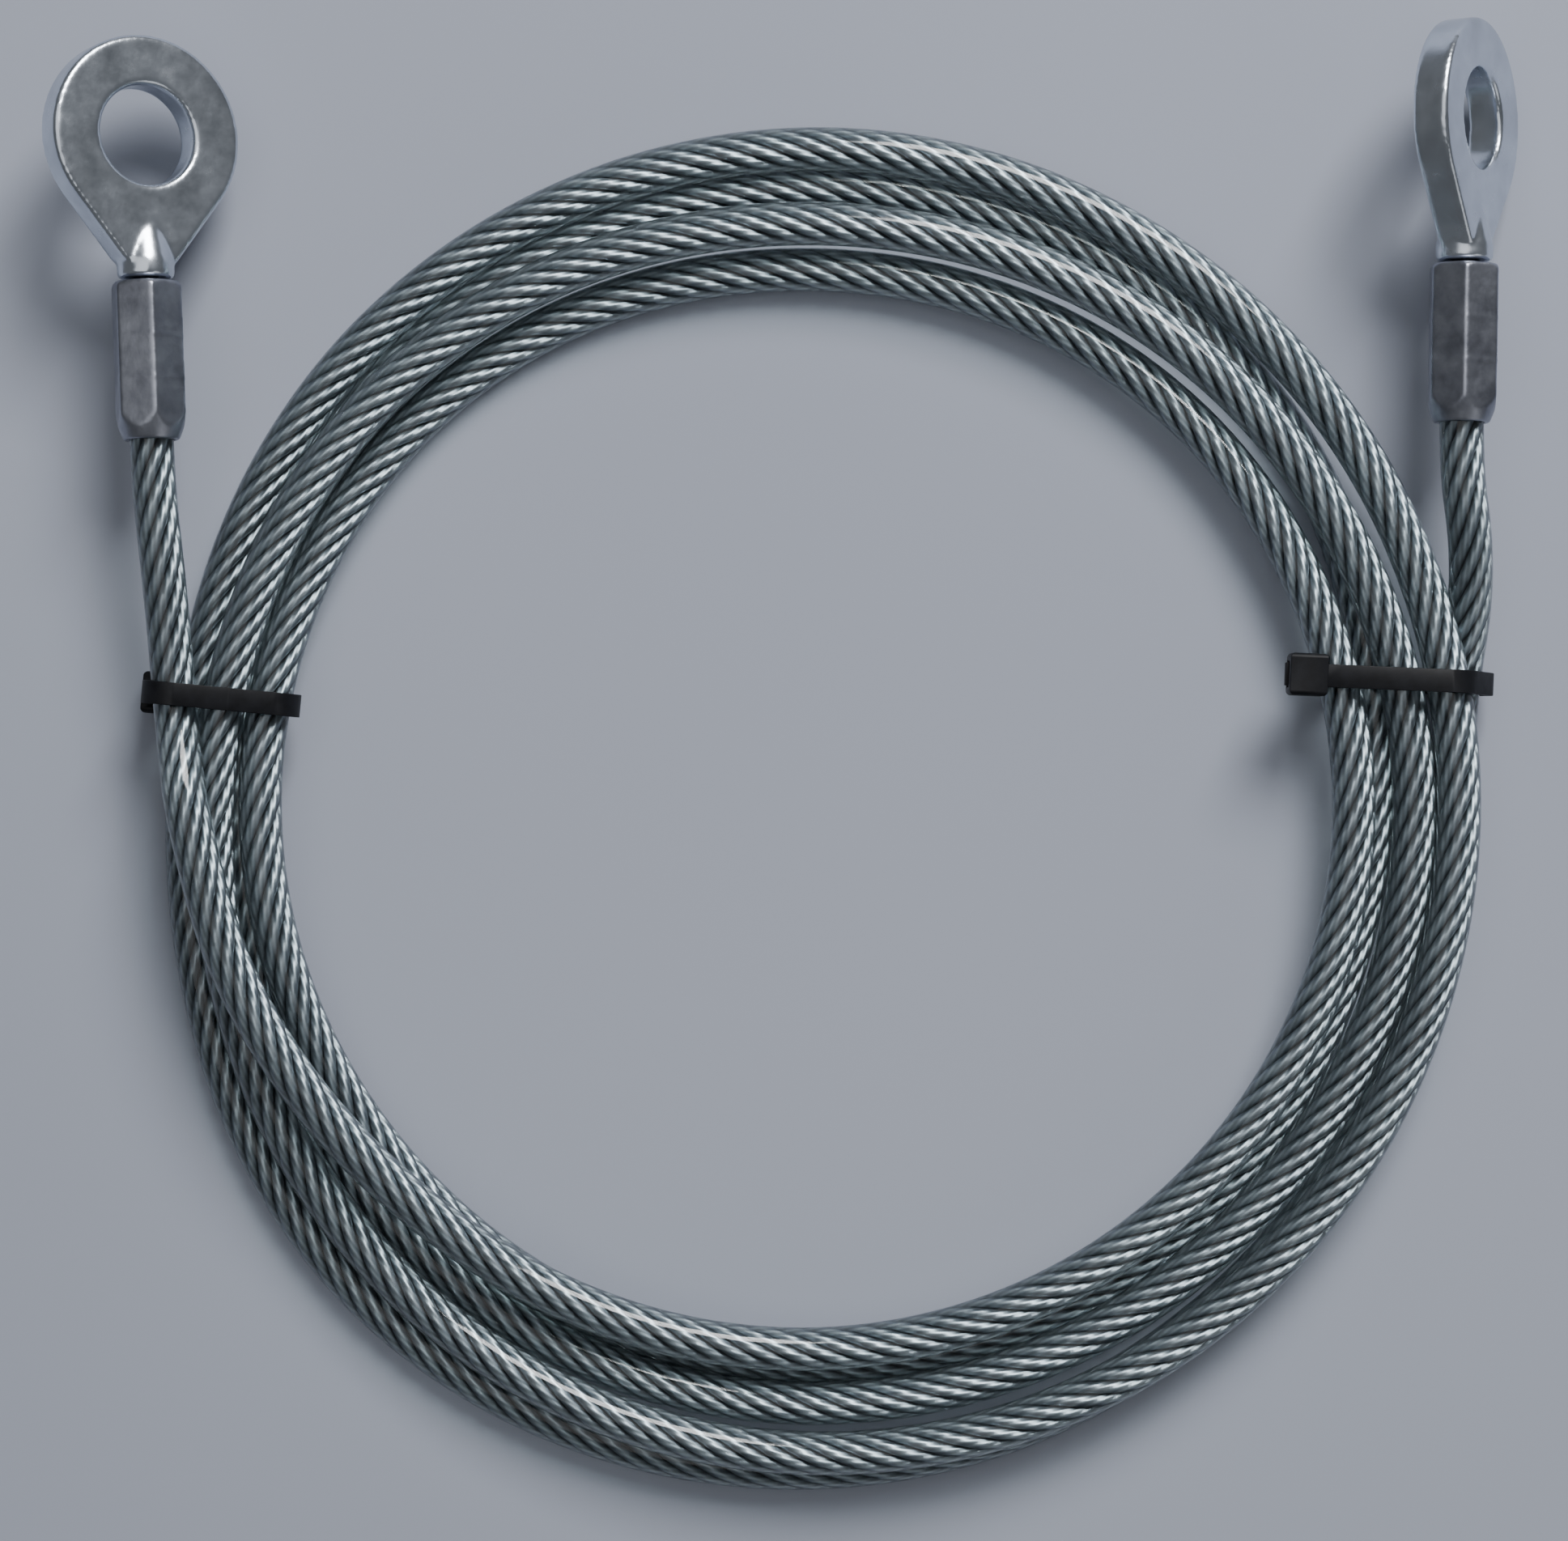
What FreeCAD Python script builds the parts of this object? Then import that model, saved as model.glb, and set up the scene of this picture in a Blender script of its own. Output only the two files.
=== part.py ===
import FreeCAD, Part
import math
import os

# Security cable: a coated wire rope with a swivelling eye on each end, wound in a
# coil that two cable ties hold. Millimetres, +Z up. The coil lies flat on Z = 0 about
# the Z axis, the two terminals point along +Y, one on each side of it.

Vector = FreeCAD.Vector

# ---- driving dimensions -------------------------------------------------------------

# The part's origin is the middle of its whole footprint, on the surface it lies on.
# Everything below is measured from the coil's centre, which is here:
COIL_CENTRE = (3.31, -5.16, 0)

ROPE_D = 4.8                    # over the clear coat
STRAND_D = 1.1                  # seven strands make the wire rope
STRAND_RING_R = 1.1             # centres of the six outer strands
OUTER_STRANDS = 6

STRAP_W = 2.5                   # cable tie
STRAP_T = 1.0
HEAD_W = 4.6
HEAD_L = 4.1                    # along the slot
HEAD_T = 3.4                    # across the strap
HEAD_WALL = 0.7                 # between the slot and the side nearest to the strap
SLOT_GAP = 0.2
TAIL_STUB = 0.3                 # cut end that stands out of the head

EYE_OD = 21.6
EYE_BORE_D = 10.8
EYE_T = 4.0
EYE_EDGE_R = 0.5
NECK_D = 6.2
NECK_TOP = 13.6                 # distances below the ring's centre, along the shank
NECK_END = 15.5
NECK_NOSE = 8.4
NECK_NOSE_D = 3.4
STEM_D = 3.0
STEM_HEAD_D = 4.4
STEM_HEAD_TOP = 18.1
STEM_HEAD_END = 19.7

SLEEVE_TOP = 15.8               # distances below the ring's centre
SLEEVE_LENGTH = 17.2
SLEEVE_AF = 7.1                 # across the flats of the crimped hexagon
SLEEVE_END_WALL = 2.1
SLEEVE_POCKET_END = 20.1
SLEEVE_STEM_BORE_D = 3.1
SLEEVE_POCKET_D = 4.8
SLEEVE_ROPE_BORE_D = 3.32
SLEEVE_MOUTH_BORE = 2.5         # depth of the seat for the rope's coat
SLEEVE_MOUTH_D = 6.0            # outside diameter at the tapered mouth
SLEEVE_TAPER = 2.8
SLEEVE_CHAMFER = 0.5

SLEEVE_END = SLEEVE_TOP + SLEEVE_LENGTH
ROPE_SEAT = SLEEVE_END - SLEEVE_MOUTH_BORE

# Each terminal: where its sleeve's mouth is, how the shank leans in plan, how far the
# rope runs straight out of it, and how far its hexagon and its ring are turned.
TERMINALS = {
    "left": {"mouth": (-72.8, 40.1, 11.2), "lean": 2.0, "straight": 5.0, "hex_turn": 18.0, "eye_turn": 34.0},
    "right": {"mouth": (69.4, 42.0, 11.2), "lean": -1.0, "straight": 4.8, "hex_turn": -6.0, "eye_turn": 58.0},
}

# The rope's line through its coil, as (radius, height) of its centre at every 45
# degrees, anticlockwise from the left. The rope starts on top, on the left, and each
# turn lies outside the one before or on it. It ends on the right.
STATION_STEP = 45.0
START_ANGLE = 180.0
STATIONS = [
    (68.3, 12.6), (61.6, 9.6), (59.2, 6.8), (58.2, 7.1), (58.2, 8.1), (59.2, 4.4), (59.8, 2.6), (62.1, 2.6),
    (61.6, 7.4), (61.3, 3.5), (61.6, 2.4), (61.0, 2.4), (60.9, 3.8), (67.4, 2.4), (69.0, 2.4), (68.2, 2.4),
    (64.4, 3.6), (66.2, 2.4), (65.6, 4.3), (65.1, 4.0), (65.1, 6.8), (64.4, 7.9), (64.3, 6.6), (66.4, 7.0),
    (66.6, 8.0), (69.8, 5.7), (70.8, 6.4), (70.2, 7.0), (69.6, 8.5), (71.4, 5.8), (72.8, 5.4), (72.2, 4.4),
    (70.0, 3.7), (74.1, 2.4), (73.1, 2.4), (70.3, 2.4), (69.5, 3.5),
]
COIL_SECTION_STEP = 10
COIL_SECTION_SIDES = 12

# The rope's line between each sleeve and the coil. It leaves the sleeve straight.
LEFT_ROUTE = [(-71.75, 27.0, 10.8), (-71.2, 19.5, 9.7), (-70.7, 12.5, 9.2), (-69.9, 6.0, 10.3), (-68.3, 0.0, 12.6)]
RIGHT_ROUTE = [(70.7, 29.6, 9.8), (71.2, 22.4, 6.9), (70.5, 15.0, 4.1), (69.9, 7.3, 3.5), (69.5, 0.0, 3.5)]
ARC_SHARE = 0.45                # of the shorter run beside a bend

# Each tie lies in an upright plane: the plan direction it crosses the coil in, how far
# that line passes from the coil's centre, the coil angle it crosses the rope at, and
# where the lead passes through it, as (distance out along the plane, height).
TIES = {
    "left": {"direction": 174.6, "offset": 5.9, "angle": 169.6, "lead": (71.7, 9.2)},
    "right": {"direction": -2.5, "offset": 17.0, "angle": 12.8, "lead": (70.2, 3.9)},
}

os.makedirs("parts", exist_ok=True)


def save(shape, node):
    """Write one node's STEP file, measured from the part's origin."""
    shape.translate(Vector(*COIL_CENTRE))
    shape.exportStep("parts/%s.step" % node)
    print("%-24s %9.1f mm3  valid %s" % (node, shape.Volume, shape.isValid()))


# ---- the rope's line ----------------------------------------------------------------

def between(before, start, end, after, share):
    """A smooth value between two stations, from their neighbours' values."""
    return 0.5 * (2 * start + (end - before) * share
                  + (2 * before - 5 * start + 4 * end - after) * share ** 2
                  + (3 * start - before - 3 * end + after) * share ** 3)


def coil_line(turned):
    """Radius and height of the rope's centre after turning that many degrees."""
    last = len(STATIONS) - 1
    index = min(int(turned // STATION_STEP), last - 1)
    share = turned / STATION_STEP - index
    near = [STATIONS[max(0, min(last, index + step))] for step in (-1, 0, 1, 2)]
    radius = between(*[station[0] for station in near], share)
    height = between(*[station[1] for station in near], share)
    return radius, max(height, ROPE_D / 2)


def strands_at(angle):
    """Every pass of the coiled rope at one angle about the coil, as (radius, height)."""
    total = STATION_STEP * (len(STATIONS) - 1)
    turned = (angle - START_ANGLE) % 360
    passes = []
    while turned <= total + 0.01:
        passes.append(coil_line(min(turned, total)))
        turned += 360
    return passes


# ---- rope solids --------------------------------------------------------------------

def support_polygon(centres, sides, reach):
    """Corners of a polygon that closes round circles of one radius."""
    limits = []
    for side in range(sides):
        slope = 2 * math.pi * side / sides
        across, up = math.cos(slope), math.sin(slope)
        limits.append(max(x * across + y * up for x, y in centres) + reach)
    corners = []
    step = 2 * math.pi / sides
    for side in range(sides):
        slope = step * side
        near, far = limits[side], limits[(side + 1) % sides]
        along = (far - near * math.cos(step)) / math.sin(step)
        corners.append((near * math.cos(slope) - along * math.sin(slope),
                        near * math.sin(slope) + along * math.cos(slope)))
    return corners


def make_coil():
    """One closed solid with the coil's outer shape."""
    sections = []
    for angle in range(0, 360, COIL_SECTION_STEP):
        corners = support_polygon(strands_at(angle), COIL_SECTION_SIDES, ROPE_D / 2)
        across, along = math.cos(math.radians(angle)), math.sin(math.radians(angle))
        points = [Vector(radius * across, radius * along, height) for radius, height in corners]
        sections.append(Part.makePolygon(points + points[:1]))
    return Part.makeLoft(sections + sections[:1], True, True)


def rounded_path(points, label):
    """Straight runs joined by tangent arcs, each as large as its two runs allow."""
    edges = []
    start = points[0]
    for before, corner, after in zip(points, points[1:], points[2:]):
        to_before, to_after = before - corner, after - corner
        setback = ARC_SHARE * min(to_before.Length, to_after.Length)
        half_turn = (math.pi - to_before.getAngle(to_after)) / 2
        radius = setback / math.tan(half_turn)
        print("%s bend radius %.1f mm" % (label, radius))
        to_before.normalize()
        to_after.normalize()
        arc_start = corner + to_before * setback
        arc_end = corner + to_after * setback
        inward = to_before + to_after
        inward.normalize()
        arc_middle = corner + inward * (radius / math.cos(half_turn) - radius)
        edges.append(Part.LineSegment(start, arc_start).toShape())
        edges.append(Part.Arc(arc_start, arc_middle, arc_end).toShape())
        start = arc_end
    edges.append(Part.LineSegment(start, points[-1]).toShape())
    return Part.Wire(edges)


def make_lead(side, route):
    """The rope from its seat in one sleeve to the coil."""
    straight_end = SLEEVE_END + TERMINALS[side]["straight"]
    points = [terminal_point(side, ROPE_SEAT), terminal_point(side, straight_end)]
    points += [Vector(*point) for point in route]
    path = rounded_path(points, side + " lead")
    ring = Part.Circle(points[0], points[1] - points[0], ROPE_D / 2).toShape()
    tube = path.makePipeShell([Part.Wire([ring])], True, False)
    expected = math.pi * (ROPE_D / 2) ** 2 * path.Length
    print("%s lead length %.1f mm, volume share %.4f" % (side, path.Length, tube.Volume / expected))
    return tube


# ---- terminals ----------------------------------------------------------------------
# Modelled with the ring's centre at the origin, the shank along -Y and the ring flat.

def revolve_about_shank(profile):
    """Turn (radius, distance below the ring's centre) points about the shank."""
    points = [Vector(radius, -depth, 0) for radius, depth in profile]
    face = Part.Face(Part.makePolygon(points + points[:1]))
    return face.revolve(Vector(0, 0, 0), Vector(0, 1, 0), 360)


def terminal_placement(side):
    """From a terminal's own frame to its place, without any turn about the shank."""
    place = TERMINALS[side]
    lean = FreeCAD.Rotation(Vector(0, 0, 1), place["lean"])
    centre = Vector(*place["mouth"]) + lean.multVec(Vector(0, SLEEVE_END, 0))
    return FreeCAD.Placement(centre, lean)


def terminal_point(side, depth):
    """A point on the shank's line, that far below the ring's centre."""
    return terminal_placement(side).multVec(Vector(0, -depth, 0))


def placed(shape, side, turn):
    """Turn a terminal's piece about its shank and put it in place."""
    about_shank = FreeCAD.Placement(Vector(0, 0, 0), FreeCAD.Rotation(Vector(0, 1, 0), turn))
    moved = shape.copy()
    moved.Placement = terminal_placement(side).multiply(about_shank)
    return moved


def make_eye():
    """Forged ring with tapering shoulders, round neck and captive stem."""
    radius = EYE_OD / 2
    neck = NECK_D / 2
    # The shoulders leave the ring along tangents that meet the neck's corners.
    reach = math.hypot(neck, NECK_TOP)
    angle = math.atan2(NECK_TOP, neck) - math.acos(radius / reach)
    touch = Vector(radius * math.cos(angle), -radius * math.sin(angle), -EYE_T / 2)
    mirrored = Vector(-touch.x, touch.y, -EYE_T / 2)
    base = Vector(0, 0, -EYE_T / 2)
    outline = [base, mirrored, Vector(-neck, -NECK_TOP, -EYE_T / 2),
               Vector(neck, -NECK_TOP, -EYE_T / 2), touch, base]
    shoulders = Part.Face(Part.makePolygon(outline)).extrude(Vector(0, 0, EYE_T))
    ring = Part.makeCylinder(radius, EYE_T, base)
    hole = Part.makeCylinder(EYE_BORE_D / 2, EYE_T, base)
    plate = ring.fuse(shoulders).removeSplitter().cut(hole)
    rims = [edge for edge in plate.Edges
            if abs(edge.BoundBox.ZLength) < 0.01 and edge.BoundBox.YMax > -NECK_TOP + 0.1]
    plate = plate.makeFillet(EYE_EDGE_R, rims)
    shank = revolve_about_shank([
        (0, NECK_NOSE), (NECK_NOSE_D / 2, NECK_NOSE), (neck, NECK_TOP), (neck, NECK_END - 0.4),
        (neck - 0.4, NECK_END), (STEM_D / 2, NECK_END), (STEM_D / 2, STEM_HEAD_TOP),
        (STEM_HEAD_D / 2, STEM_HEAD_TOP), (STEM_HEAD_D / 2, STEM_HEAD_END - 0.3),
        (STEM_HEAD_D / 2 - 0.3, STEM_HEAD_END), (0, STEM_HEAD_END),
    ])
    return plate.fuse(shank).removeSplitter()


def make_sleeve():
    """Crimped hexagonal sleeve: an end wall that holds the stem, and the rope's seat."""
    corner_r = SLEEVE_AF / math.sqrt(3)
    corners = []
    for step in range(6):
        turn = math.radians(60 * step + 90)
        corners.append(Vector(corner_r * math.cos(turn), -SLEEVE_END, corner_r * math.sin(turn)))
    prism = Part.Face(Part.makePolygon(corners + corners[:1])).extrude(Vector(0, SLEEVE_LENGTH, 0))
    envelope = revolve_about_shank([
        (0, SLEEVE_TOP), (corner_r - SLEEVE_CHAMFER, SLEEVE_TOP),
        (corner_r, SLEEVE_TOP + SLEEVE_CHAMFER), (corner_r, SLEEVE_END - SLEEVE_TAPER),
        (SLEEVE_MOUTH_D / 2, SLEEVE_END), (0, SLEEVE_END),
    ])
    stem, pocket = SLEEVE_STEM_BORE_D / 2, SLEEVE_POCKET_D / 2
    rope, coat = SLEEVE_ROPE_BORE_D / 2, ROPE_D / 2
    bore = revolve_about_shank([
        (0, SLEEVE_TOP - 1), (stem, SLEEVE_TOP - 1), (stem, SLEEVE_TOP + SLEEVE_END_WALL),
        (pocket, SLEEVE_TOP + SLEEVE_END_WALL), (pocket, SLEEVE_POCKET_END),
        (rope, SLEEVE_POCKET_END + pocket - rope), (rope, ROPE_SEAT), (coat, ROPE_SEAT),
        (coat, SLEEVE_END + 1), (0, SLEEVE_END + 1),
    ])
    return prism.common(envelope).cut(bore).removeSplitter()


def make_strand(number):
    """One strand's end inside a sleeve: 0 is the core strand, the rest lie round it."""
    turn = math.radians(360 / OUTER_STRANDS * number)
    out = STRAND_RING_R if number else 0
    base = Vector(out * math.cos(turn), -ROPE_SEAT, out * math.sin(turn))
    length = ROPE_SEAT - SLEEVE_POCKET_END - SLEEVE_POCKET_D / 2 + SLEEVE_ROPE_BORE_D / 2
    return Part.makeCylinder(STRAND_D / 2, length, base, Vector(0, 1, 0))


# ---- cable ties ---------------------------------------------------------------------
# Modelled upright: X runs out from the coil's centre, Z is up, Y runs along the rope.

def hull(points):
    """Corners of the smallest convex outline round the points, in order."""
    ordered = sorted(set(points))

    def half(sequence):
        chain = []
        for point in sequence:
            while len(chain) > 1:
                (ax, ay), (bx, by) = chain[-2], chain[-1]
                if (bx - ax) * (point[1] - ay) - (by - ay) * (point[0] - ax) > 0:
                    break
                chain.pop()
            chain.append(point)
        return chain[:-1]

    return half(ordered) + half(ordered[::-1])


def box(low, high):
    """An upright box between two corners."""
    size = [high[axis] - low[axis] for axis in range(3)]
    return Part.makeBox(*size, Vector(*low))


def make_tie(side):
    """A locked cable tie: strap round the bundle, head, pawl and cut tail."""
    plane = TIES[side]
    offset = plane["offset"]
    bundle = [(math.sqrt(radius ** 2 - offset ** 2), height)
              for radius, height in strands_at(plane["angle"])] + [plane["lead"]]
    corners = [Vector(out, 0, height) for out, height in hull(bundle)]
    middle = Part.makePolygon(corners + corners[:1])
    inner = Part.Face(middle.makeOffset2D(ROPE_D / 2)).extrude(Vector(0, STRAP_W, 0))
    outer = Part.Face(middle.makeOffset2D(ROPE_D / 2 + STRAP_T)).extrude(Vector(0, STRAP_W, 0))
    strap = outer.cut(inner)
    strap.translate(Vector(0, -STRAP_W / 2, 0))
    half_strap, half_head = STRAP_W / 2, HEAD_W / 2
    half_slot = half_strap + SLOT_GAP
    if side == "right":
        # The tail runs level over the innermost pass and through the head.
        inside, top = min(bundle)
        level = top + ROPE_D / 2
        out, up = inside - 1.8 - HEAD_L, level - HEAD_WALL
        head = box((out, -half_head, up), (out + HEAD_L, half_head, up + HEAD_T))
        tail = box((out - TAIL_STUB, -half_strap, level), (inside, half_strap, level + STRAP_T))
        slot = box((out, -half_slot, level - SLOT_GAP), (out + 2.4, half_slot, level + STRAP_T + SLOT_GAP))
        pawl = box((out + 0.8, -0.8, level + STRAP_T - 0.05), (out + 2.0, 0.8, level + STRAP_T + SLOT_GAP))
    else:
        # The tail runs down outside the lead and through the head, low beside the coil.
        outside, top = max(bundle)
        level = outside + ROPE_D / 2
        out, up = level + STRAP_T + HEAD_WALL - HEAD_T, 1.4
        head = box((out, -half_head, up), (out + HEAD_T, half_head, up + HEAD_L))
        tail = box((level, -half_strap, up - TAIL_STUB), (level + STRAP_T, half_strap, top))
        slot = box((level - SLOT_GAP, -half_slot, up), (level + STRAP_T + SLOT_GAP, half_slot, up + 2.4))
        pawl = box((level - SLOT_GAP, -0.8, up + 0.8), (level + 0.05, 0.8, up + 2.0))
    head = head.makeFillet(0.5, [edge for edge in head.Edges if edge.BoundBox.YLength < 0.01])
    tie = strap.fuse([head.cut(slot), tail, pawl]).removeSplitter()
    upright = FreeCAD.Rotation(Vector(0, 0, 1), plane["direction"])
    nearest = plane["direction"] + (90 if side == "right" else -90)
    foot = Vector(offset * math.cos(math.radians(nearest)), offset * math.sin(math.radians(nearest)), 0)
    tie.Placement = FreeCAD.Placement(foot, upright)
    return tie


# ---- nodes --------------------------------------------------------------------------

save(make_coil(), "coil")
save(make_lead("left", LEFT_ROUTE), "left_lead")
save(make_lead("right", RIGHT_ROUTE), "right_lead")
for side, place in TERMINALS.items():
    save(make_tie(side), side + "_tie")
    save(placed(make_eye(), side, place["eye_turn"]), side + "_eye")
    save(placed(make_sleeve(), side, place["hex_turn"]), side + "_sleeve")
    save(placed(make_strand(0), side, 0), side + "_core_strand")
    for number in range(1, OUTER_STRANDS + 1):
        save(placed(make_strand(number), side, 0), "%s_outer_strand_%d" % (side, number))
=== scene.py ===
"""Looks of a coiled wire rope security cable: a clear-coated rope of twisted strands with a crimped sleeve and a
swivelling ring eye on each end, held in its coil by two cable ties. Metres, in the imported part's frame."""
import math

import bpy
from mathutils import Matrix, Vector


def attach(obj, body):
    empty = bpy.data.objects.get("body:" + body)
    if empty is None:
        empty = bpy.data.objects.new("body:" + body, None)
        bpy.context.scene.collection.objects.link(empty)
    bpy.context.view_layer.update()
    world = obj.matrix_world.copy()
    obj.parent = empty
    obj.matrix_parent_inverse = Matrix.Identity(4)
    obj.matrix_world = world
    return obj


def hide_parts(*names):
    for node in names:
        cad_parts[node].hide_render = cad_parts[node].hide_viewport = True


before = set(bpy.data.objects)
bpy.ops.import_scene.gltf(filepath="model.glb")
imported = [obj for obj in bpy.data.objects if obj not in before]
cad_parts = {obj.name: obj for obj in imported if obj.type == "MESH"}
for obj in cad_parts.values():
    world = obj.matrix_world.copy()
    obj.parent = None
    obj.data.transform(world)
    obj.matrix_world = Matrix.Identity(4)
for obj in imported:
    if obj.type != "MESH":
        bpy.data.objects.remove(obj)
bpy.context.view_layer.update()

MM = 0.001

# ---- sizes and places, in millimetres from the coil's centre, as the part's source has them ----

COIL_CENTRE = Vector((3.31, -5.16, 0))
ROPE_D = 4.8
BUNDLE_D = 3.72                 # the seven strands together
STRANDS = 6                     # round the core strand
STRAND_SIDES = 14
CORE_SIDES = 8
STRAND_FILL = 0.98              # of the radius that would make neighbouring strands touch
STRAND_LAY = 20.4               # one turn of the strands round the rope
WIRES = 6
WIRE_LAY = 7.5                  # one turn of the wires round their strand, the other way
SLEEVE_END = 33.0               # from the ring's centre to the sleeve's mouth
STEM_START = 15.6               # from the ring's centre, just past the neck's end
STEM_EASE = 0.97                # keeps the smoothed stem clear of its bore at every turn
PRESS_RIDGES = (6.6, 11.2)      # from the sleeve's mouth
RIDGE_WIDTH = 0.3
RIDGE_HEIGHT = 0.025
SLEEVE_OUTSIDE_R = 3.0          # nearer to its line than this is inside the sleeve
ROPE_SEAT = 30.5                # from the ring's centre to the seat of the rope's coat
TERMINALS = {
    "left": {"mouth": (-72.8, 40.1, 11.2), "lean": 2.0, "straight": 5.0},
    "right": {"mouth": (69.4, 42.0, 11.2), "lean": -1.0, "straight": 4.8},
}
STATION_STEP = 45.0
START_ANGLE = 180.0
STATIONS = [
    (68.3, 12.6), (61.6, 9.6), (59.2, 6.8), (58.2, 7.1), (58.2, 8.1), (59.2, 4.4), (59.8, 2.6), (62.1, 2.6),
    (61.6, 7.4), (61.3, 3.5), (61.6, 2.4), (61.0, 2.4), (60.9, 3.8), (67.4, 2.4), (69.0, 2.4), (68.2, 2.4),
    (64.4, 3.6), (66.2, 2.4), (65.6, 4.3), (65.1, 4.0), (65.1, 6.8), (64.4, 7.9), (64.3, 6.6), (66.4, 7.0),
    (66.6, 8.0), (69.8, 5.7), (70.8, 6.4), (70.2, 7.0), (69.6, 8.5), (71.4, 5.8), (72.8, 5.4), (72.2, 4.4),
    (70.0, 3.7), (74.1, 2.4), (73.1, 2.4), (70.3, 2.4), (69.5, 3.5),
]
LEFT_ROUTE = [(-71.75, 27.0, 10.8), (-71.2, 19.5, 9.7), (-70.7, 12.5, 9.2), (-69.9, 6.0, 10.3), (-68.3, 0.0, 12.6)]
RIGHT_ROUTE = [(70.7, 29.6, 9.8), (71.2, 22.4, 6.9), (70.5, 15.0, 4.1), (69.9, 7.3, 3.5), (69.5, 0.0, 3.5)]
TURN_STEP = 15.0                # between the points of the coil's turns
LINE_STEP = 0.62                # between the rings of a strand
CAMERA_OVER = (-4.15, 4.29)     # where it looks straight down
CAMERA_HEIGHT = 400.0
PICTURE_WIDTH = 175.14          # on the surface that the coil lies on


def metres(point):
    """A place measured from the coil's centre in millimetres, in the part's frame."""
    return (Vector(point) + COIL_CENTRE) * MM


def terminal_point(side, depth):
    """A point on a terminal's shank, that far from the ring's centre towards the rope, in millimetres."""
    place = TERMINALS[side]
    lean = math.radians(place["lean"])
    along = Vector((-math.sin(lean), math.cos(lean), 0))
    return Vector(place["mouth"]) + along * (SLEEVE_END - depth)


# ---- material helpers -----------------------------------------------------------------------

# Places of a Mix node's colour sockets among all its sockets.
COLOUR_A, COLOUR_B, COLOUR_RESULT = 6, 7, 2


def node(tree, kind, **settings):
    """Add a shader node and set its properties or its inputs by name."""
    made = tree.nodes.new(kind)
    for name, value in settings.items():
        if hasattr(made, name):
            setattr(made, name, value)
        else:
            made.inputs[name.replace("_", " ")].default_value = value
    return made


def new_material(name):
    """A material with an empty node tree apart from its output and one Principled shader."""
    made = bpy.data.materials.new(name)
    made.use_nodes = True
    tree = made.node_tree
    shader = tree.nodes["Principled BSDF"]
    return made, tree, shader


def colour_ramp(tree, source, stops):
    """A colour ramp over a factor, from (position, colour) stops."""
    ramp = tree.nodes.new("ShaderNodeValToRGB")
    elements = ramp.color_ramp.elements
    while len(elements) < len(stops):
        elements.new(0.5)
    for element, (position, colour) in zip(elements, stops):
        element.position = position
        element.color = (*colour, 1)
    tree.links.new(source, ramp.inputs["Fac"])
    return ramp.outputs["Color"]


def noise(tree, scale, detail=4.0, roughness=0.55, stretch=(1, 1, 1)):
    """Object-space noise, with its scale in features per metre."""
    place = tree.nodes.new("ShaderNodeTexCoord")
    mapping = node(tree, "ShaderNodeMapping", Scale=stretch)
    made = node(tree, "ShaderNodeTexNoise", Scale=scale, Detail=detail, Roughness=roughness)
    tree.links.new(place.outputs["Object"], mapping.inputs["Vector"])
    tree.links.new(mapping.outputs["Vector"], made.inputs["Vector"])
    return made.outputs["Fac"]


def bump(tree, height, strength, distance, shader):
    """Feed a height into the shader's normal."""
    made = node(tree, "ShaderNodeBump", Strength=strength, Distance=distance)
    tree.links.new(height, made.inputs["Height"])
    tree.links.new(made.outputs["Normal"], shader.inputs["Normal"])


def spread(tree, source, low, high):
    """Map a 0 to 1 factor to a range."""
    made = node(tree, "ShaderNodeMapRange")
    made.inputs["To Min"].default_value = low
    made.inputs["To Max"].default_value = high
    tree.links.new(source, made.inputs["Value"])
    return made.outputs["Result"]


# ---- materials --------------------------------------------------------------------------------

def clear_coat_material():
    """Clear PVC with a faint haze. Lamps' rays pass straight through it to the strands."""
    made, tree, shader = new_material("clear_pvc")
    shader.inputs["Base Color"].default_value = (0.93, 0.97, 0.965, 1)
    shader.inputs["Transmission Weight"].default_value = 1.0
    shader.inputs["IOR"].default_value = 1.45
    haze = noise(tree, 900, 3)
    tree.links.new(spread(tree, haze, 0.05, 0.13), shader.inputs["Roughness"])
    ripple = noise(tree, 350, 2)
    bump(tree, ripple, 0.25, 0.00008, shader)
    clear = node(tree, "ShaderNodeBsdfTransparent")
    clear.inputs["Color"].default_value = (0.88, 0.92, 0.91, 1)
    path = tree.nodes.new("ShaderNodeLightPath")
    mix = tree.nodes.new("ShaderNodeMixShader")
    tree.links.new(path.outputs["Is Shadow Ray"], mix.inputs["Fac"])
    tree.links.new(shader.outputs["BSDF"], mix.inputs[1])
    tree.links.new(clear.outputs["BSDF"], mix.inputs[2])
    tree.links.new(mix.outputs["Shader"], tree.nodes["Material Output"].inputs["Surface"])
    return made


def wave_of(tree, source, times):
    """The cosine of a value times a number, moved to the range 0 to 1."""
    scaled = node(tree, "ShaderNodeMath", operation="MULTIPLY")
    scaled.inputs[1].default_value = times
    wave = node(tree, "ShaderNodeMath", operation="COSINE")
    made = node(tree, "ShaderNodeMapRange")
    made.inputs["From Min"].default_value = -1.0
    tree.links.new(source, scaled.inputs[0])
    tree.links.new(scaled.outputs["Value"], wave.inputs[0])
    tree.links.new(wave.outputs["Value"], made.inputs["Value"])
    return made.outputs["Result"]


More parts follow.
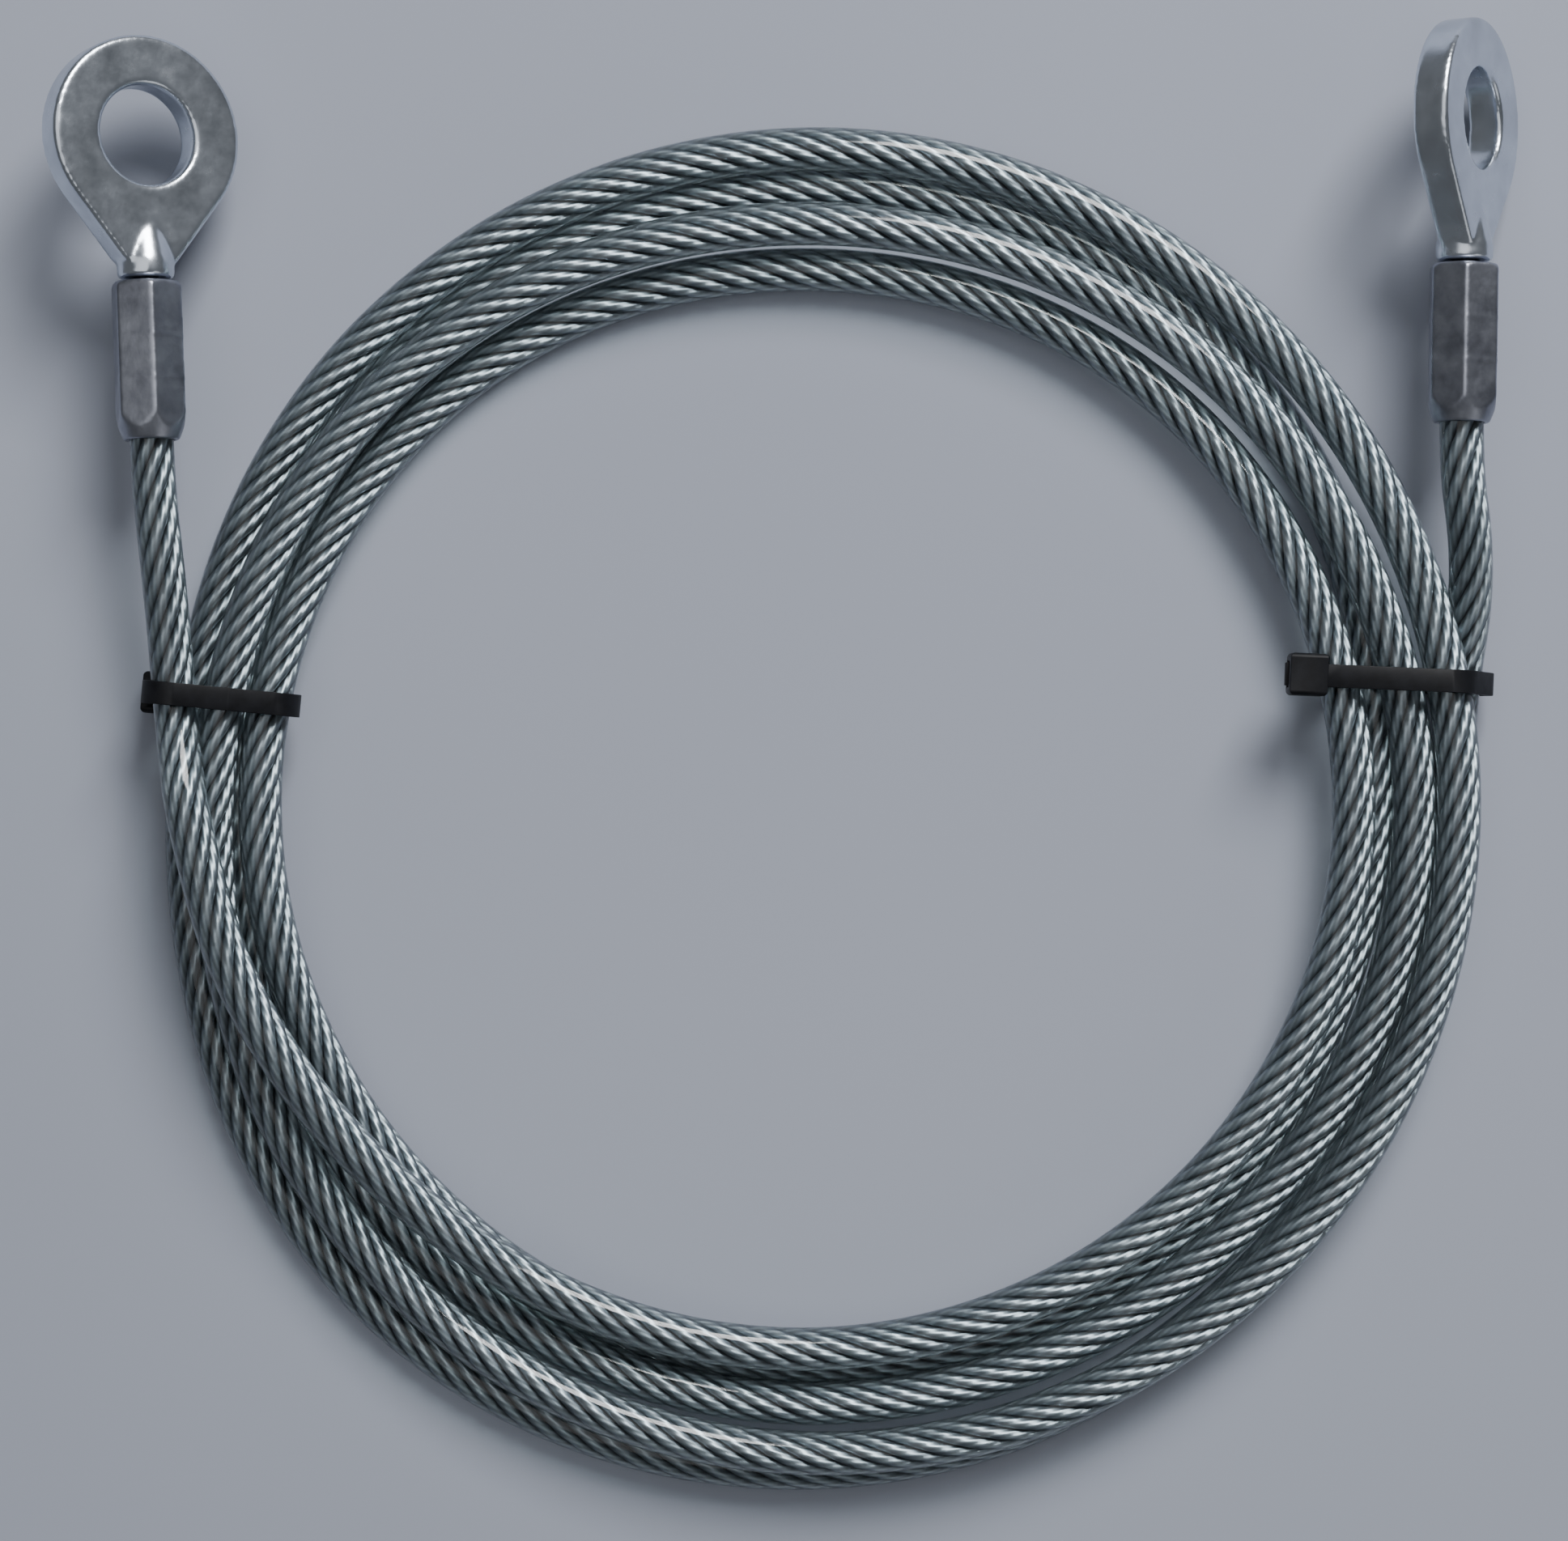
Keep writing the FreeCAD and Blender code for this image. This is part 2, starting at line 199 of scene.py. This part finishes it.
def wire_material():
    """Galvanised strands: blue-grey, uneven, with the ridges of their twisted wires. Painted shade darkens the
    grooves between the wires and each strand's side that faces the rope's middle.
    """
    made, tree, shader = new_material("galvanised_wire")
    shader.inputs["Metallic"].default_value = 1.0
    lay = node(tree, "ShaderNodeUVMap", uv_map="lay")
    parts = tree.nodes.new("ShaderNodeSeparateXYZ")
    tree.links.new(lay.outputs["UV"], parts.inputs["Vector"])
    twisted = node(tree, "ShaderNodeMath", operation="ADD")
    tree.links.new(parts.outputs["X"], twisted.inputs[0])
    tree.links.new(parts.outputs["Y"], twisted.inputs[1])
    ridges = wave_of(tree, twisted.outputs["Value"], 2 * math.pi * WIRES)
    # Mask for painted shade: 1 on each strand's side that faces out of the rope, 0 on its side that faces the
    # rope's middle.
    painted_shade_inner_side = wave_of(tree, parts.outputs["X"], 2 * math.pi)
    tone = colour_ramp(tree, noise(tree, 260, 5), [(0.3, (0.27, 0.31, 0.35)), (0.7, (0.38, 0.435, 0.48))])
    # Painted shade: the tone is multiplied darker on each strand's inner side (down to 0.35) and in the grooves
    # between its wires (down to 0.7).
    for source, low in ((painted_shade_inner_side, 0.35), (ridges, 0.7)):
        shade = colour_ramp(tree, source, [(0.0, (low, low, low)), (1.0, (1.0, 1.0, 1.0))])
        mix = node(tree, "ShaderNodeMix", data_type="RGBA", blend_type="MULTIPLY")
        mix.inputs["Factor"].default_value = 1.0
        tree.links.new(tone, mix.inputs[COLOUR_A])
        tree.links.new(shade, mix.inputs[COLOUR_B])
        tone = mix.outputs[COLOUR_RESULT]
    tree.links.new(tone, shader.inputs["Base Color"])
    tree.links.new(spread(tree, noise(tree, 1200, 3), 0.36, 0.50), shader.inputs["Roughness"])
    bump(tree, ridges, 0.7, 0.00005, shader)
    return made


def plating_material():
    """Bright zinc plating: cool, near mirror, with faint clouding and fine scratches."""
    made, tree, shader = new_material("bright_zinc")
    shader.inputs["Metallic"].default_value = 1.0
    cloud = noise(tree, 180, 6)
    tone = colour_ramp(tree, cloud, [(0.32, (0.52, 0.56, 0.62)), (0.68, (0.70, 0.75, 0.83))])
    tree.links.new(tone, shader.inputs["Base Color"])
    tree.links.new(spread(tree, noise(tree, 500, 5), 0.14, 0.34), shader.inputs["Roughness"])
    bump(tree, noise(tree, 1500, 4), 0.25, 0.00004, shader)
    return made


def sleeve_material():
    """Dull dark steel, marked by the crimping dies."""
    made, tree, shader = new_material("crimped_steel")
    shader.inputs["Metallic"].default_value = 1.0
    cloud = noise(tree, 320, 6)
    tone = colour_ramp(tree, cloud, [(0.3, (0.21, 0.22, 0.26)), (0.7, (0.37, 0.385, 0.44))])
    tree.links.new(tone, shader.inputs["Base Color"])
    tree.links.new(spread(tree, noise(tree, 900, 5), 0.28, 0.46), shader.inputs["Roughness"])
    bump(tree, noise(tree, 1100, 5), 0.4, 0.00006, shader)
    return made


def nylon_material():
    """Black moulded nylon with a faint satin grain."""
    made, tree, shader = new_material("black_nylon")
    grain = noise(tree, 700, 3)
    tone = colour_ramp(tree, grain, [(0.3, (0.003, 0.0032, 0.0045)), (0.7, (0.007, 0.0075, 0.010))])
    tree.links.new(tone, shader.inputs["Base Color"])
    shader.inputs["Specular IOR Level"].default_value = 0.2
    tree.links.new(spread(tree, noise(tree, 400, 3), 0.42, 0.6), shader.inputs["Roughness"])
    bump(tree, noise(tree, 3500, 2), 0.2, 0.00003, shader)
    return made


# ---- the rope ---------------------------------------------------------------------------------

def between(before, start, end, after, share):
    """A smooth value between two stations, from their neighbours' values."""
    return 0.5 * (2 * start + (end - before) * share
                  + (2 * before - 5 * start + 4 * end - after) * share ** 2
                  + (3 * start - before - 3 * end + after) * share ** 3)


def coil_line(turned):
    """Radius and height of the rope's centre after turning that many degrees round the coil."""
    last = len(STATIONS) - 1
    index = min(int(turned // STATION_STEP), last - 1)
    share = turned / STATION_STEP - index
    near = [STATIONS[max(0, min(last, index + step))] for step in (-1, 0, 1, 2)]
    radius = between(*[station[0] for station in near], share)
    height = between(*[station[1] for station in near], share)
    return radius, max(height, ROPE_D / 2)


def coil_points():
    """The coil's turns. Each point stands out a little, because the spline cuts inside its points."""
    out = 1 / math.cos(math.radians(TURN_STEP / 2))
    steps = round(STATION_STEP * (len(STATIONS) - 1) / TURN_STEP)
    points = []
    for step in range(steps + 1):
        radius, height = coil_line(step * TURN_STEP)
        angle = math.radians(START_ANGLE + step * TURN_STEP)
        points.append((radius * out * math.cos(angle), radius * out * math.sin(angle), height))
    return points


def rope_route():
    """The whole rope from seat to seat, in metres."""
    left, right = (TERMINALS[side]["straight"] + SLEEVE_END for side in ("left", "right"))
    points = [terminal_point("left", ROPE_SEAT), terminal_point("left", left)]
    points += LEFT_ROUTE[:-1] + coil_points() + RIGHT_ROUTE[-2::-1]
    points += [terminal_point("right", right), terminal_point("right", ROPE_SEAT)]
    return [metres(point) for point in points]


def rope_curve(name, bevel):
    """The rope's line as one NURBS spline."""
    data = bpy.data.curves.new(name, "CURVE")
    data.dimensions = "3D"
    route = rope_route()
    spline = data.splines.new("NURBS")
    spline.points.add(len(route) - 1)
    for point, place in zip(spline.points, route):
        point.co = (*place, 1)
    spline.order_u = 3
    spline.use_endpoint_u = True
    data.resolution_u = 14
    data.bevel_depth = bevel
    data.bevel_resolution = 7
    made = bpy.data.objects.new(name, data)
    bpy.context.scene.collection.objects.link(made)
    return made


def followed_line(curve):
    """The points of an unbevelled curve's line, in order."""
    mesh = bpy.data.meshes.new_from_object(curve)
    points = [vertex.co.copy() for vertex in mesh.vertices]
    bpy.data.meshes.remove(mesh)
    return points


def resample(points, spacing):
    """Points at an even spacing along a line."""
    total = sum((b - a).length for a, b in zip(points, points[1:]))
    count = max(2, round(total / spacing))
    step = total / count
    made = [points[0].copy()]
    gone = 0.0
    for start, end in zip(points, points[1:]):
        length = (end - start).length
        while len(made) < count and gone + length >= len(made) * step:
            made.append(start.lerp(end, (len(made) * step - gone) / length))
        gone += length
    made.append(points[-1].copy())
    return made, step


def frames_along(points):
    """A tangent and two steady normals at each point, turned as little as possible from one to the next."""
    tangents = []
    for index in range(len(points)):
        before, after = points[max(index - 1, 0)], points[min(index + 1, len(points) - 1)]
        tangents.append((after - before).normalized())
    normal = tangents[0].orthogonal().normalized()
    made = []
    for tangent in tangents:
        normal = (normal - tangent * normal.dot(tangent)).normalized()
        made.append((tangent, normal, tangent.cross(normal)))
    return made


def tube_mesh(name, vertices, rings, sides, along, material):
    """A capped tube through rings of vertices. Its map is once round it, and that far along for each ring."""
    faces, places = [], []
    for ring in range(rings - 1):
        for side in range(sides):
            here, there = ring * sides, (ring + 1) * sides
            beside = (side + 1) % sides
            faces.append((here + side, here + beside, there + beside, there + side))
            near, far = side / sides, (side + 1) / sides
            start, end = ring * along, (ring + 1) * along
            places += [near, start, far, start, far, end, near, end]
    faces.append(tuple(reversed(range(sides))))
    faces.append(tuple(range((rings - 1) * sides, rings * sides)))
    places += [0.0] * (4 * sides)
    data = bpy.data.meshes.new(name)
    data.from_pydata(vertices, [], faces)
    data.uv_layers.new(name="lay").data.foreach_set("uv", places)
    data.materials.append(material)
    for polygon in data.polygons:
        polygon.use_smooth = True
    made = bpy.data.objects.new(name, data)
    bpy.context.scene.collection.objects.link(made)
    return made


def strand_mesh(name, line, frames, step, number, material):
    """One strand, twisted round the rope's line. Its map follows the lay of its wires, the other way."""
    strand_r = BUNDLE_D / 6 * MM
    drawn_r = strand_r * STRAND_FILL
    sides = STRAND_SIDES if number else CORE_SIDES
    out = strand_r * 2 if number else 0.0
    phase = 2 * math.pi * number / STRANDS
    vertices = []
    for index, (place, (_, normal, across)) in enumerate(zip(line, frames)):
        turn = phase + 2 * math.pi * index * step / (STRAND_LAY * MM)
        radial = normal * math.cos(turn) + across * math.sin(turn)
        sideways = across * math.cos(turn) - normal * math.sin(turn)
        centre = place + radial * out
        for side in range(sides):
            angle = 2 * math.pi * side / sides
            vertices.append(centre + (radial * math.cos(angle) + sideways * math.sin(angle)) * drawn_r)
    return tube_mesh(name, vertices, len(line), sides, step / (WIRE_LAY * MM), material)


def build_rope():
    """The coated rope: a clear sheath and seven strands inside it, standing in for the coil and its two leads,
    which are hidden.
    """
    guide = rope_curve("guide", 0.0)
    line, step = resample(followed_line(guide), LINE_STEP * MM)
    print("rope length", step * (len(line) - 1))
    bpy.data.objects.remove(guide)
    frames = frames_along(line)
    wire = wire_material()
    strands = []
    for number in range(STRANDS + 1):
        name = "rope_strand_%d" % number if number else "rope_core_strand"
        strand = strand_mesh(name, line, frames, step, number, wire)
        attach(strand, "cable")
        strands.append(strand)
    sheath = rope_curve("rope_coat", ROPE_D / 2 * MM)
    sheath.data.use_fill_caps = True
    sheath.data.materials.append(clear_coat_material())
    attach(sheath, "cable")
    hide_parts("coil", "left_lead", "right_lead")
    return sheath, strands


# ---- stage, light and camera ---------------------------------------------------------------------

def build_stage():
    """A pale floor, soft lights and a camera that looks straight down."""
    bpy.ops.mesh.primitive_plane_add(size=6)
    floor = bpy.context.object
    floor.name = "floor"
    made, tree, shader = new_material("pale_floor")
    tone = colour_ramp(tree, noise(tree, 3, 2), [(0.3, (0.285, 0.307, 0.37)), (0.7, (0.325, 0.349, 0.416))])
    tree.links.new(tone, shader.inputs["Base Color"])
    shader.inputs["Roughness"].default_value = 0.9
    floor.data.materials.append(made)

    world = bpy.data.worlds.new("studio")
    bpy.context.scene.world = world
    world.use_nodes = True
    world.node_tree.nodes["Background"].inputs["Color"].default_value = (0.80, 0.83, 0.86, 1)
    world.node_tree.nodes["Background"].inputs["Strength"].default_value = 0.16

    for name, place, size, power in (
        ("key", (0.24, 0.60, 0.62), 0.38, 11.0),
        ("fill", (-0.15, 0.05, 0.95), 0.80, 1.8),
        ("low", (0.55, -0.55, 0.40), 0.50, 0.5),
    ):
        data = bpy.data.lights.new(name, "AREA")
        data.size = size
        data.energy = power
        lamp = bpy.data.objects.new(name, data)
        lamp.location = place
        lamp.rotation_euler = (-Vector(place)).to_track_quat("-Z", "Y").to_euler()
        bpy.context.scene.collection.objects.link(lamp)

    data = bpy.data.cameras.new("camera")
    data.sensor_width = 36.0
    data.lens = data.sensor_width * CAMERA_HEIGHT / PICTURE_WIDTH
    data.clip_start = 0.01
    camera = bpy.data.objects.new("camera", data)
    camera.location = metres((*CAMERA_OVER, CAMERA_HEIGHT))
    bpy.context.scene.collection.objects.link(camera)
    bpy.context.scene.camera = camera


# ---- terminals and ties ----------------------------------------------------------------------------

def finished_copy(name, modifiers, material, body):
    """A piece that stands for a CAD node: its shape after a list of (modifier type, settings)."""
    made = bpy.data.objects.new(name + "_finished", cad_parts[name].data.copy())
    bpy.context.scene.collection.objects.link(made)
    for kind, settings in modifiers:
        modifier = made.modifiers.new(kind.lower(), kind)
        for setting, value in settings.items():
            setattr(modifier, setting, value)
    changed = made.evaluated_get(bpy.context.evaluated_depsgraph_get())
    data = bpy.data.meshes.new_from_object(changed)
    made.modifiers.clear()
    made.data = data
    data.materials.clear()
    data.materials.append(material)
    for polygon in data.polygons:
        polygon.use_smooth = True
    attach(made, body)
    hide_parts(name)
    return made


def build_eyes():
    """Forged ring eyes: every edge and the run of the shoulders into the neck are softly rounded."""
    plating = plating_material()
    for side in TERMINALS:
        forging = [("REMESH", {"mode": "VOXEL", "voxel_size": 0.24 * MM}),
                   ("SMOOTH", {"factor": 0.5, "iterations": 9})]
        eye = finished_copy(side + "_eye", forging, plating, side + "_eye")
        centre, mouth = metres(terminal_point(side, 0)), metres(terminal_point(side, SLEEVE_END))
        along = (mouth - centre).normalized()
        for vertex in eye.data.vertices:
            depth = (vertex.co - centre).dot(along)
            if depth > STEM_START * MM:
                axis = centre + along * depth
                vertex.co = axis + (vertex.co - axis) * STEM_EASE


def build_sleeves():
    """Crimped sleeves: worn edges, and a faint ridge where one bite of the press met the next."""
    steel = sleeve_material()
    for side in TERMINALS:
        pressing = [("REMESH", {"mode": "VOXEL", "voxel_size": 0.17 * MM}),
                    ("SMOOTH", {"factor": 0.5, "iterations": 14})]
        sleeve = finished_copy(side + "_sleeve", pressing, steel, "cable")
        mouth, top = metres(terminal_point(side, SLEEVE_END)), metres(terminal_point(side, 0))
        along = (top - mouth).normalized()
        for vertex in sleeve.data.vertices:
            depth = (vertex.co - mouth).dot(along) / MM
            out = vertex.co - mouth - along * depth * MM
            if out.length > SLEEVE_OUTSIDE_R * MM:
                ridge = sum(math.exp(-((depth - place) / RIDGE_WIDTH) ** 2) for place in PRESS_RIDGES)
                vertex.co += out.normalized() * (RIDGE_HEIGHT * ridge * MM)


def build_ties():
    """Nylon ties with the small radius that moulding leaves on every edge."""
    nylon = nylon_material()
    for side in TERMINALS:
        moulding = [("WELD", {"merge_threshold": 0.01 * MM}),
                    ("BEVEL", {"width": 0.16 * MM, "segments": 3, "limit_method": "ANGLE", "angle_limit": 0.6}),
                    ("WEIGHTED_NORMAL", {"keep_sharp": False})]
        finished_copy(side + "_tie", moulding, nylon, "cable")


def dress(nodes, material):
    """Give CAD nodes a material of their own."""
    for name in nodes:
        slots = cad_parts[name].data.materials
        slots.clear()
        slots.append(material)


build_stage()
sheath, strands = build_rope()
wires = [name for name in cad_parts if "strand" in name]
dress(wires, bpy.data.materials["galvanised_wire"])
build_eyes()
build_sleeves()
build_ties()
